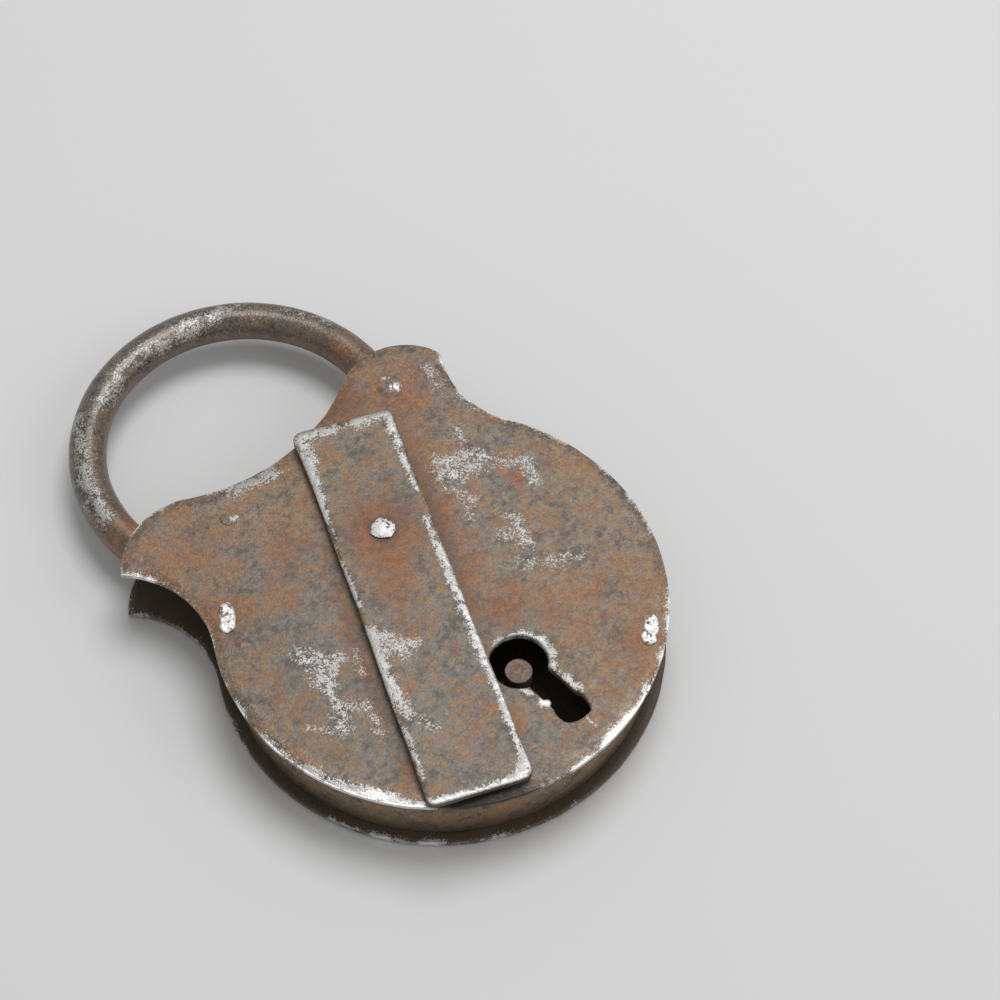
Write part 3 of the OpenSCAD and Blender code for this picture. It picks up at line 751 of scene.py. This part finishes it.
def plate(name, node, places, low_z, high_z, face_up, seed):
    """A plate with a ragged keyhole, worn rims, shallow dents and pits on its outer face. Its rims carry a
    painted sheen and its inner face painted shade; where listed, painted glare lies along the rim and a
    painted shadow under the cover's foot.
    """
    outer, inner = (high_z, low_z) if face_up else (low_z, high_z)
    loops = plate_loops(node, outer, places.get("filed", []), seed)
    steps = (PLATE_STEP, INNER_STEP) if face_up else (INNER_STEP, PLATE_STEP)
    bevels = (INNER_BEVEL, PLATE_BEVEL) if face_up else (PLATE_BEVEL, INNER_BEVEL)
    pts, faces = slab(loops, low_z, high_z, steps[0], *bevels, 2, steps[1])
    rims = [loops[0]] + [q for q in loops[1:] if abs(signed_area(q)) > KEYHOLE_AREA]
    far = nearest(pts, np.concatenate(rims))
    far_edge = nearest(pts, loops[0])
    on_face = smooth01(1 - np.abs(pts[:, 2] - outer) / 0.5)
    pts[:, 2] += (1.0 if face_up else -1.0) * on_face * plate_relief(pts, far_edge, seed)
    obj = make(name, pts, faces)
    # painted shade on the inner face, between the plates
    back_side = 1 - smooth01(np.abs(pts[:, 2] - inner) / 0.8)
    # painted shadow under the cover's foot: no bare metal there, and darker than the dark colour
    shade = np.clip(patches(pts, places.get("shade", [])), 0, 1)
    darkening = np.maximum(patches(pts, places.get("grime", [])) * on_face, places["inner_grime"] * back_side)
    rusty = patches(pts, places["rust"]) - patches(pts, places.get("clean", []))
    # how polished the worn rims are, which also lays the painted sheen there
    rim_shine = np.clip(strokes(pts, places["rim"]), 0, 1) * smooth01(1 - far_edge / 4.0)
    paint(
        obj, bare=plate_bare_and_glare(pts, places, far, on_face, seed) * (1 - shade),
        rust=rusty * (1 - back_side), grime=np.maximum(darkening, 2 * shade), polish=rim_shine * on_face,
    )
    return obj


front_low, front_high = box_mm("front_plate")
front = plate(
    "front_plate_worn", "front_plate",
    {"bare": FRONT_BARE, "crisp": KEYHOLE_BARE, "rim": FRONT_RIM, "glare": FRONT_PAINTED_GLARE,
     "rust": FRONT_RUST, "grime": FRONT_DARKENING, "shade": FRONT_SHADE, "filed": FOOT_CORNERS,
     "clean": FRONT_CLEAN, "inner_grime": 0.9, "all_round": 0.25},
    front_low[2], front_high[2], True, seed=21,
)
wear(front, FRONT, "case", "front_iron", "front_plate")

BACK_BARE = [
    (-16, 8, -4, 15, 3.0, 0.8), (12, -8, 24, -17, 3.0, 0.8), (-24, -26, -20, -18, 2.4, 0.6),
    (9, 27, 20, 29, 2.2, 0.6), (30, 5, 31, 15, 1.6, 0.5), (-36, 18, -32, 26, 1.6, 0.5),
]
BACK_RIM = [
    (-44, -8, -42, -15, 4, 0.35), (-41, -17, -33, -31, 3.5, 0.95), (-33, -31, -21, -40, 3.5, 1.0),
    (-20, -40.5, -2, -45, 3, 0.35), (10, -43, 42, 12, 8, 0.2), (-42, 8, -36, 34, 6, 0.5),
    (-42, 44, -30, 53, 5, 0.6), (20, 52, 38, 44, 5, 0.6),
]
BACK_RUST = [
    (0, 28, 6, 6, 0, 0.9), (0, 4, 6, 6, 0, 0.9), (26, 45, 7, 7, 0, 0.8), (2, -20, 6, 6, 0, 0.8),
    (-26, -30, 9, 5, 40, 0.6), (28, -20, 9, 6, -50, 0.6), (-30, 40, 8, 6, 0, 0.5),
]
back_low, back_high = box_mm("back_plate")
back = plate(
    "back_plate_worn", "back_plate",
    {"bare": BACK_BARE, "rim": BACK_RIM, "rust": BACK_RUST, "inner_grime": 1.15, "all_round": 0.08},
    back_low[2], back_high[2], False, seed=41,
)
wear(back, BACK, "case", "back_iron", "back_plate")

# ---------------------------------------------------------------- keyhole cover

COVER_BARE = [
    (4.4, 45.8, 10.0, 43.3, 1.9, 1.0), (3.6, 45.4, 1.2, 40.0, 2.1, 1.05), (1.2, 40.0, -5.2, 28.0, 1.3, 1.1),
    (10.0, 43.3, 14.0, 41.6, 0.7, 0.8), (15.0, 41.4, 20.4, 39.0, 2.3, 1.05),
    (20.0, 38.0, 17.0, 31.5, 1.8, 1.05), (17.0, 31.5, 15.0, 27.0, 1.0, 1.1),
    (15.0, 27.0, 12.4, 21.2, 0.8, 1.0), (9.8, 14.8, 7.3, 8.7, 1.0, 1.1), (7.3, 8.7, 3.0, -1.3, 1.4, 1.1),
    (3.0, -1.3, -3.6, -17.5, 1.5, 1.1), (-3.6, -17.5, -8.2, -28.5, 1.4, 1.05),
    (-8.2, -28.5, -12.4, -37.8, 1.1, 1.05), (-12.8, -38.8, -14.8, -40.2, 2.2, 1.3),
    (-14.4, -40.6, -20.6, -38.0, 1.7, 1.3), (-20.6, -38.0, -31.6, -32.8, 1.1, 1.3),
    (-15.4, 2.4, -18.3, -2.5, 2.2, 1.05), (-18.0, -1.7, -20.4, -7.5, 2.4, 1.1),
    (-20.2, -7.0, -21.8, -12.0, 2.1, 1.02), (-15.4, 1.4, -11.0, -5.0, 2.1, 0.98),
    (-16.0, -2.0, -13.4, -5.0, 2.2, 0.98), (-21.6, -12.0, -22.2, -16.0, 2.2, 0.95),
    (-22.0, -15.0, -20.2, -21.4, 1.9, 0.75), (-24.6, -17.5, -29.0, -27.6, 0.8, 0.8),
    (-6.0, 25.6, -8.6, 20.4, 0.7, 0.6), (-9.2, 18.6, -10.6, 15.2, 0.7, 0.85),
    (-10.6, 15.2, -13.0, 8.6, 0.9, 0.95),
]
COVER_RUST = [
    (-1.5, 13.5, 7.0, 5.5, 67, 1.2), (1.7, 18.7, 6.4, 6.4, 0, 2.3), (-5.5, 8.0, 6.0, 4.5, 67, 0.9),
    (-8.0, -2.0, 6.0, 4.0, 0, 0.4), (-14.0, -26.0, 6.0, 3.0, 60, 0.5), (2.0, 25.0, 7.0, 5.0, 0, 0.4),
]

COVER_STEP, COVER_INNER_STEP = 0.4, 1.0
# the corner that was cut a little wide
WIDE_CORNER = np.array([3.2, 47.4])
# how far out the dark ring round the rivet lies
RING_RADIUS = 2.7
# how far the cover's face droops at its edge, and over what width
COVER_DROOP, COVER_DROOP_WIDTH = 0.18, 1.8


def cover_outline(q, seed):
    """The cover's edge, hand cut: a little wider towards its foot and at one corner."""
    down = smooth01((10 - q[:, 1]) / 50)
    corner = np.exp(-np.sum((q - WIDE_CORNER) ** 2, axis=1) / 60)
    return q + outward(q) * ((0.2 + 0.3 * down + 0.5 * corner)[:, None] + 0.22 * loop_noise(q, 7, seed, 4))


def cover_relief(pts, far, seed):
    """Shallow dents and pits, and an edge that droops, in millimetres out of the face."""
    wave = 0.07 * fractal(pts, 16, seed + 1, 2) - 0.05
    pits = -0.04 * smooth01((fractal(pts, 1.4, seed + 2, 3) - 0.15) * 4)
    droop = COVER_DROOP * smooth01(1 - far / COVER_DROOP_WIDTH) ** 2
    return np.minimum(wave, 0.02) + pits - droop + 0.014 * fractal(pts, 0.9, seed, 2)


def rivet_ring(pts):
    """Grime in a dark ring round the cover's rivet, fading outwards."""
    pivot = np.mean(box_mm("cover_rivet"), axis=0)
    away = np.hypot(pts[:, 0] - pivot[0], pts[:, 1] - pivot[1])
    return 0.7 * np.exp(-((away - RING_RADIUS) / 0.5) ** 2) + 0.18 * np.exp(-(away / 11) ** 2)


def bar(name, node, seed):
    """The flat cover: hand-cut edges, soft corners, worn bright along its rims with a painted sheen there,
    and painted shade on its side walls.
    """
    low, high = box_mm(node)
    loops = [resample(q, COVER_STEP, 40) for q in face_loops(node, high[2])]
    loops[0] = cover_outline(loops[0], seed)
    pts, faces = slab(loops, low[2], high[2], COVER_STEP, 0.2, 0.3, 3, COVER_INNER_STEP)
    far = nearest(pts, loops[0])
    on_face = smooth01(1 - (high[2] - pts[:, 2]) / 0.6)
    pts[:, 2] += on_face * cover_relief(pts, far, seed)
    obj = make(name, pts, faces)
    edge = 0.75 * np.exp(-far / 0.4) * (0.3 + chipped(pts, seed)) * on_face
    worn = strokes(pts, COVER_BARE, 0.9) * (0.95 + 0.5 * np.exp(-far / 1.2)) * on_face
    # painted shade on the side walls, a dark soiled ring round the rivet, and painted sheen along the edge
    paint(
        obj, bare=np.maximum(worn, edge), rust=patches(pts, COVER_RUST),
        grime=np.maximum(0.95 * (1 - on_face), rivet_ring(pts)),
        polish=0.7 * smooth01(1 - far / 1.5) * on_face,
    )
    return obj


cover = bar("keyhole_cover_worn", "keyhole_cover", seed=61)
wear(cover, COVER, "cover", "cover_iron", "keyhole_cover")

# ---------------------------------------------------------------- band and top bar

# the stroke of bare metal on the top bar's one open tenon head
TOP_HEAD_SPOT = [(-17.7, 41.9, -17.1, 41.6, 0.9, 1.3)]
# a head filed nearly flush rises this much of the full height
FLUSH_HEAD = 0.12
HEAD_STEP, STRIP_STEP = 0.2, 0.8


def mound(loop, z, height, seed):
    """A hammered head: a low uneven mound on a loop, its foot at z."""
    q = resample(loop, HEAD_STEP, 60)
    if signed_area(q) < 0:
        q = q[::-1]
    q = q + outward(q) * (0.42 * loop_noise(q, 1.5, seed, 3) - 0.02)
    pts, faces = slab([q], z, z + height, HEAD_STEP, 0.02, height * 0.8, 1)
    lift = smooth01((pts[:, 2] - z) / height)
    pts[:, 2] += lift * height * (0.6 * fractal(pts, 1.0, seed + 1, 3) - 0.15)
    return pts, faces


def joined(parts):
    """Several points-and-faces pairs as one."""
    pts, faces, base = [], [], 0
    for p, f in parts:
        pts.append(p)
        faces += [tuple(base + i for i in q) for q in f]
        base += len(p)
    return np.concatenate(pts), faces


def strip_body(node, low_z, high_z, seed, rows):
    """The bent strip itself, its faces slightly uneven."""
    outline = resample(face_loops(node, high_z)[0], 0.5)
    outline = outline - outward(outline) * 0.05 * (1 + loop_noise(outline, 9, seed, 3))
    pts, faces = slab([outline], low_z, high_z, STRIP_STEP, 0.2, 0.2, rows)
    return pts + normals_of(pts, faces) * (0.05 * fractal(pts, 5, seed + 1, 3) - 0.05)[:, None], faces


def strip(name, node, low_z, high_z, seed, rows, head_spots=None):
    """A bent strip between the plates with its tenons: heads in front, flush ends behind.

    The heads are proud and bare, or with head_spots filed down and bare only there.
    """
    low, high = box_mm(node)
    proud = head_spots is None
    rise = (high[2] - front_high[2]) * (1 if proud else FLUSH_HEAD)
    parts = [strip_body(node, low_z, high_z, seed, rows)]
    for k, q in enumerate(face_loops(node, high[2])):
        parts.append(mound(q, front_high[2], rise, seed + 10 + k))
    for q in face_loops(node, low[2]):
        end = resample(q if signed_area(q) > 0 else q[::-1], 0.3, 40)
        parts.append(slab([end], low[2] + 0.03, low_z, 0.4, 0.12, 0.02, 1))
    pts, faces = joined(parts)
    obj = make(name, pts, faces)
    head = (pts[:, 2] > front_high[2] - 0.01).astype(float)
    end = (pts[:, 2] < low_z - 0.3).astype(float)
    pitted = smooth01(0.92 + 1.9 * fractal(pts, 0.8, seed + 6, 3))
    head_bare = 2.1 * head * pitted if proud else head * strokes(pts, head_spots)
    # painted shade: the strip darker towards the back plate, and on the band's lower right side
    low_part = smooth01(1 - (pts[:, 2] - low_z) / 8)
    right_side_shade = 0.8 * smooth01((pts[:, 0] - 4) / 22) * smooth01(-pts[:, 1] / 12)
    strip_grime = (1 - end) * np.maximum(0.85 * low_part, right_side_shade)
    paint(
        obj, bare=head_bare + 0.4 * end,
        rust=0.3 * (1 - head) * smooth01(0.5 + fractal(pts, 12, seed + 4, 2)),
        grime=np.where(head > 0, 0.0 if proud else 0.3, strip_grime),
    )
    return obj


band = strip("side_band_forged", "side_band", back_high[2], front_low[2], seed=71, rows=24)
wear(band, BAND, "case", "band_iron", "side_band")
top = strip(
    "top_bar_forged", "top_bar", back_high[2], front_low[2], seed=91, rows=20, head_spots=TOP_HEAD_SPOT,
)
wear(top, BAND, "case", "band_iron", "top_bar")

# ---------------------------------------------------------------- forged pieces from solid shapes

PIVOT = np.mean(box_mm("pivot_rivet"), axis=0)
# running faces at the pivot: radius round its axis, lowest and highest Z, and the push out of the metal
EYE_BORE = (2.8, -10, 40, -0.13)
PIVOT_SHANK = (2.6, back_high[2] - 0.2, front_low[2] + 0.2, -0.07)


def add_weld(obj):
    """Joins the doubled points that a CAD node's mesh has."""
    weld = obj.modifiers.new("weld", "WELD")
    weld.merge_threshold = WELD_GRID * MM


def remeshed(name, node, voxel, smooth_rounds):
    """A new object with the node's own shape in even faces, a little softened."""
    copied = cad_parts[node].data.copy()
    obj = bpy.data.objects.new(name, copied)
    bpy.context.scene.collection.objects.link(obj)
    add_weld(obj)
    remesh = obj.modifiers.new("remesh", "REMESH")
    remesh.mode = "VOXEL"
    remesh.voxel_size = voxel * MM
    soften = obj.modifiers.new("soften", "SMOOTH")
    soften.factor = 0.5
    soften.iterations = smooth_rounds
    graph = bpy.context.evaluated_depsgraph_get()
    done = bpy.data.meshes.new_from_object(obj.evaluated_get(graph))
    obj.modifiers.clear()
    obj.data = done
    bpy.data.meshes.remove(copied)
    return obj


def forged(name, node, voxel, smooth_rounds, seed, rough_mm, wave_mm, running=None):
    """The node's own shape made uneven as a forging, but smooth where it runs.

    Gives the object, its points in millimetres and the normals from before it was made uneven.
    """
    obj = remeshed(name, node, voxel, smooth_rounds)
    pts, n = point_values(obj.data, "co") / MM, point_values(obj.data, "normal")
    push = wave_mm * (fractal(pts, 9, seed, 2) - 0.4) + rough_mm * fractal(pts, 1.8, seed + 1, 3)
    if running:
        radius, z_low, z_high, smooth_push = running
        near = np.hypot(pts[:, 0] - PIVOT[0], pts[:, 1] - PIVOT[1]) < radius
        push = np.where(near & (pts[:, 2] > z_low) & (pts[:, 2] < z_high), smooth_push, push)
    pts = pts + n * push[:, None]
    move_points(obj.data, pts)
    obj.data.shade_smooth()
    return obj, pts, n


SHACKLE_BARE = [
    (-24.0, 85.0, -30.5, 75.0, 2.4, 0.95), (-30.5, 75.0, -34.5, 66.0, 2.5, 1.1),
    (-33.0, 69.0, -35.2, 62.0, 2.4, 1.05), (-17.0, 84.5, -10.0, 88.3, 2.9, 0.9),
    (-10.0, 88.3, -1.0, 89.0, 2.3, 0.8), (0.0, 87.8, 7.0, 87.2, 2.1, 0.9),
    (5.0, 87.4, 14.5, 86.0, 2.7, 1.1), (14.5, 86.0, 18.5, 84.5, 1.9, 0.8),
    (25.5, 76.5, 30.0, 68.5, 1.8, 0.85),
]
BOW_CENTRE = np.array([-2.1, 58.5])
BOW_RADIUS = 28
# the shackle turns rusty from here down, over this width
EAR_TOP, EAR_FADE = 68, 10


def bow():
    """The shackle: worn on top with a painted sheen there, rusty near the ears and inside its bend, and
    painted shade underneath.
    """
    obj, pts, n = forged("shackle_forged", "shackle", 0.42, 3, 101, 0.02, 0.07, EYE_BORE)
    on_top = smooth01((n[:, 2] + 0.1) / 0.6)
    patchy = smooth01(0.5 + 1.2 * fractal(pts, 7, 111, 3))
    near_ears = smooth01((EAR_TOP - pts[:, 1]) / EAR_FADE)
    inner_side = smooth01(-np.sum(n[:, :2] * (pts[:, :2] - BOW_CENTRE), axis=1) / BOW_RADIUS)
    worn = 0.88 * strokes(pts, SHACKLE_BARE, 1.6) * on_top
    # painted sheen on top, and painted shade on the faces that turn down
    paint(
        obj, bare=np.maximum(worn, 0.35 * on_top * patchy * (1 - near_ears)),
        rust=0.55 * near_ears + 0.3 * inner_side, polish=0.3 * on_top * (1 - near_ears),
        grime=0.45 * smooth01(-n[:, 2] * 1.2),
    )
    return obj


wear(bow(), SHACKLE, "shackle", "shackle_iron", "shackle")


def rivet(name, node, voxel, seed, material, slot, spots, rough=0.06, running=None, ragged=0.0):
    """A small turned piece, hammered uneven, bare and pitted where spots say.

    ragged is how unevenly the head above the cover is spread.
    """
    obj, pts, n = forged(name, node, voxel, 2, seed, rough, 0.05, running)
    axis = np.mean(box_mm(node), axis=0)[:2]
    head = smooth01((pts[:, 2] - box_mm("keyhole_cover")[1][2] + 0.1) / 0.3)
    spread = 1 + ragged * head * (fractal(pts, 1.3, seed + 5, 3) - 0.1)
    pts[:, :2] = axis + (pts[:, :2] - axis) * spread[:, None]
    move_points(obj.data, pts)
    pitted = smooth01(1.1 + 2.6 * fractal(pts, 0.6, seed + 7, 3))
    paint(obj, bare=strokes(pts, spots, 0.7) * pitted * smooth01(n[:, 2] * 2))
    wear(obj, material, "case", slot, node)


# the strokes of bare metal on the rivets' heads, strong enough that most of them also take the painted
# glint
PIVOT_HEAD_SPOTS = [
    (27.0, 46.8, 27.4, 46.6, 0.8, 1.5), (26.9, 43.8, 27.3, 43.5, 1.3, 2.1),
    (26.3, 45.4, 26.6, 44.6, 0.5, 0.8),
]
COVER_HEAD_SPOT = [(1.2, 19.2, 2.0, 18.3, 3.0, 2.6)]
rivet(
    "pivot_rivet_hammered", "pivot_rivet", 0.2, 121, FRONT, "bare_rivet", PIVOT_HEAD_SPOTS,
    running=PIVOT_SHANK,
)
rivet(
    "cover_rivet_hammered", "cover_rivet", 0.16, 131, RIVET, "bare_rivet", COVER_HEAD_SPOT,
    rough=0.1, ragged=0.3,
)
rivet("drill_pin_worn", "drill_pin", 0.2, 141, PIN, "pin_iron", [])

# ---------------------------------------------------------------- inner pieces keep their CAD shapes

INNER_NODES = (
    "front_pivot_washer", "back_pivot_washer", "cover_spacer", "cover_inner_washer", "bolt", "bolt_spring",
    "spring_rivet", "high_guide_post", "low_guide_post", "high_guide_washer", "low_guide_washer",
)
INNER_EDGE = 0.12
for node in INNER_NODES:
    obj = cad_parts[node]
    obj.data.materials.clear()
    obj.data.materials.append(SPRING if node == "bolt_spring" else INNER)
    add_weld(obj)
    bevel = obj.modifiers.new("soft_edges", "BEVEL")
    bevel.width = INNER_EDGE * MM
    bevel.segments = 2
    bevel.limit_method = "ANGLE"
    bevel.angle_limit = math.radians(50)

# ---------------------------------------------------------------- floor, light and camera

FLOOR_SIZE = 3.0
FLOOR_GAP = 0.1 * MM
bpy.ops.mesh.primitive_plane_add(size=FLOOR_SIZE, location=(0, 0, -FLOOR_GAP))
floor = bpy.context.object
floor.name = "floor"
floor.data.materials.append(floor_material())


def area_light(name, position, size, watts):
    """A soft round light aimed at the lock."""
    data = bpy.data.lights.new(name, "AREA")
    data.shape = "DISK"
    data.size = size
    data.energy = watts
    obj = bpy.data.objects.new(name, data)
    bpy.context.scene.collection.objects.link(obj)
    obj.location = position
    obj.rotation_euler = (AIM - position).to_track_quat("-Z", "Y").to_euler()


WORLD_STRENGTH = 0.4
world = bpy.data.worlds.new("studio")
bpy.context.scene.world = world
world.use_nodes = True
sky = world.node_tree.nodes["Background"]
sky.inputs[0].default_value = (1.0, 1.0, 1.0, 1)
sky.inputs[1].default_value = WORLD_STRENGTH

# the photograph's viewpoint: where it looks, its turn and height in degrees, and its distance in metres
AIM = Vector((0.0317, 0.01715, 0.0))
VIEW_TURN = 42.52
VIEW_RISE = 57.71
VIEW_DISTANCE = 0.65
LENS, SENSOR = 113.6, 36
# lights: degrees round from the camera, height in degrees, distance and size in metres, and watts
LIGHTS = {"overhead": (-155, 72, 1.05, 0.6, 6.0), "side_fill": (-70, 40, 1.1, 0.6, 1.4)}


def around(turn, rise, distance):
    """A place seen from the aim point, by angle from the camera's side and height."""
    a = math.radians(VIEW_TURN) + math.radians(turn)
    e = math.radians(rise)
    return AIM + distance * Vector((-math.sin(a) * math.cos(e), -math.cos(a) * math.cos(e), math.sin(e)))


for light_name, (turn, rise, distance, size, watts) in LIGHTS.items():
    area_light(light_name, around(turn, rise, distance), size, watts)

camera_data = bpy.data.cameras.new("camera")
camera_data.sensor_width = SENSOR
camera_data.lens = LENS
camera_data.clip_end = 10
camera = bpy.data.objects.new("camera", camera_data)
bpy.context.scene.collection.objects.link(camera)
camera.location = around(0, VIEW_RISE, VIEW_DISTANCE)
camera.rotation_euler = (AIM - camera.location).to_track_quat("-Z", "Y").to_euler()
bpy.context.scene.camera = camera
bpy.context.scene.view_settings.view_transform = "Standard"
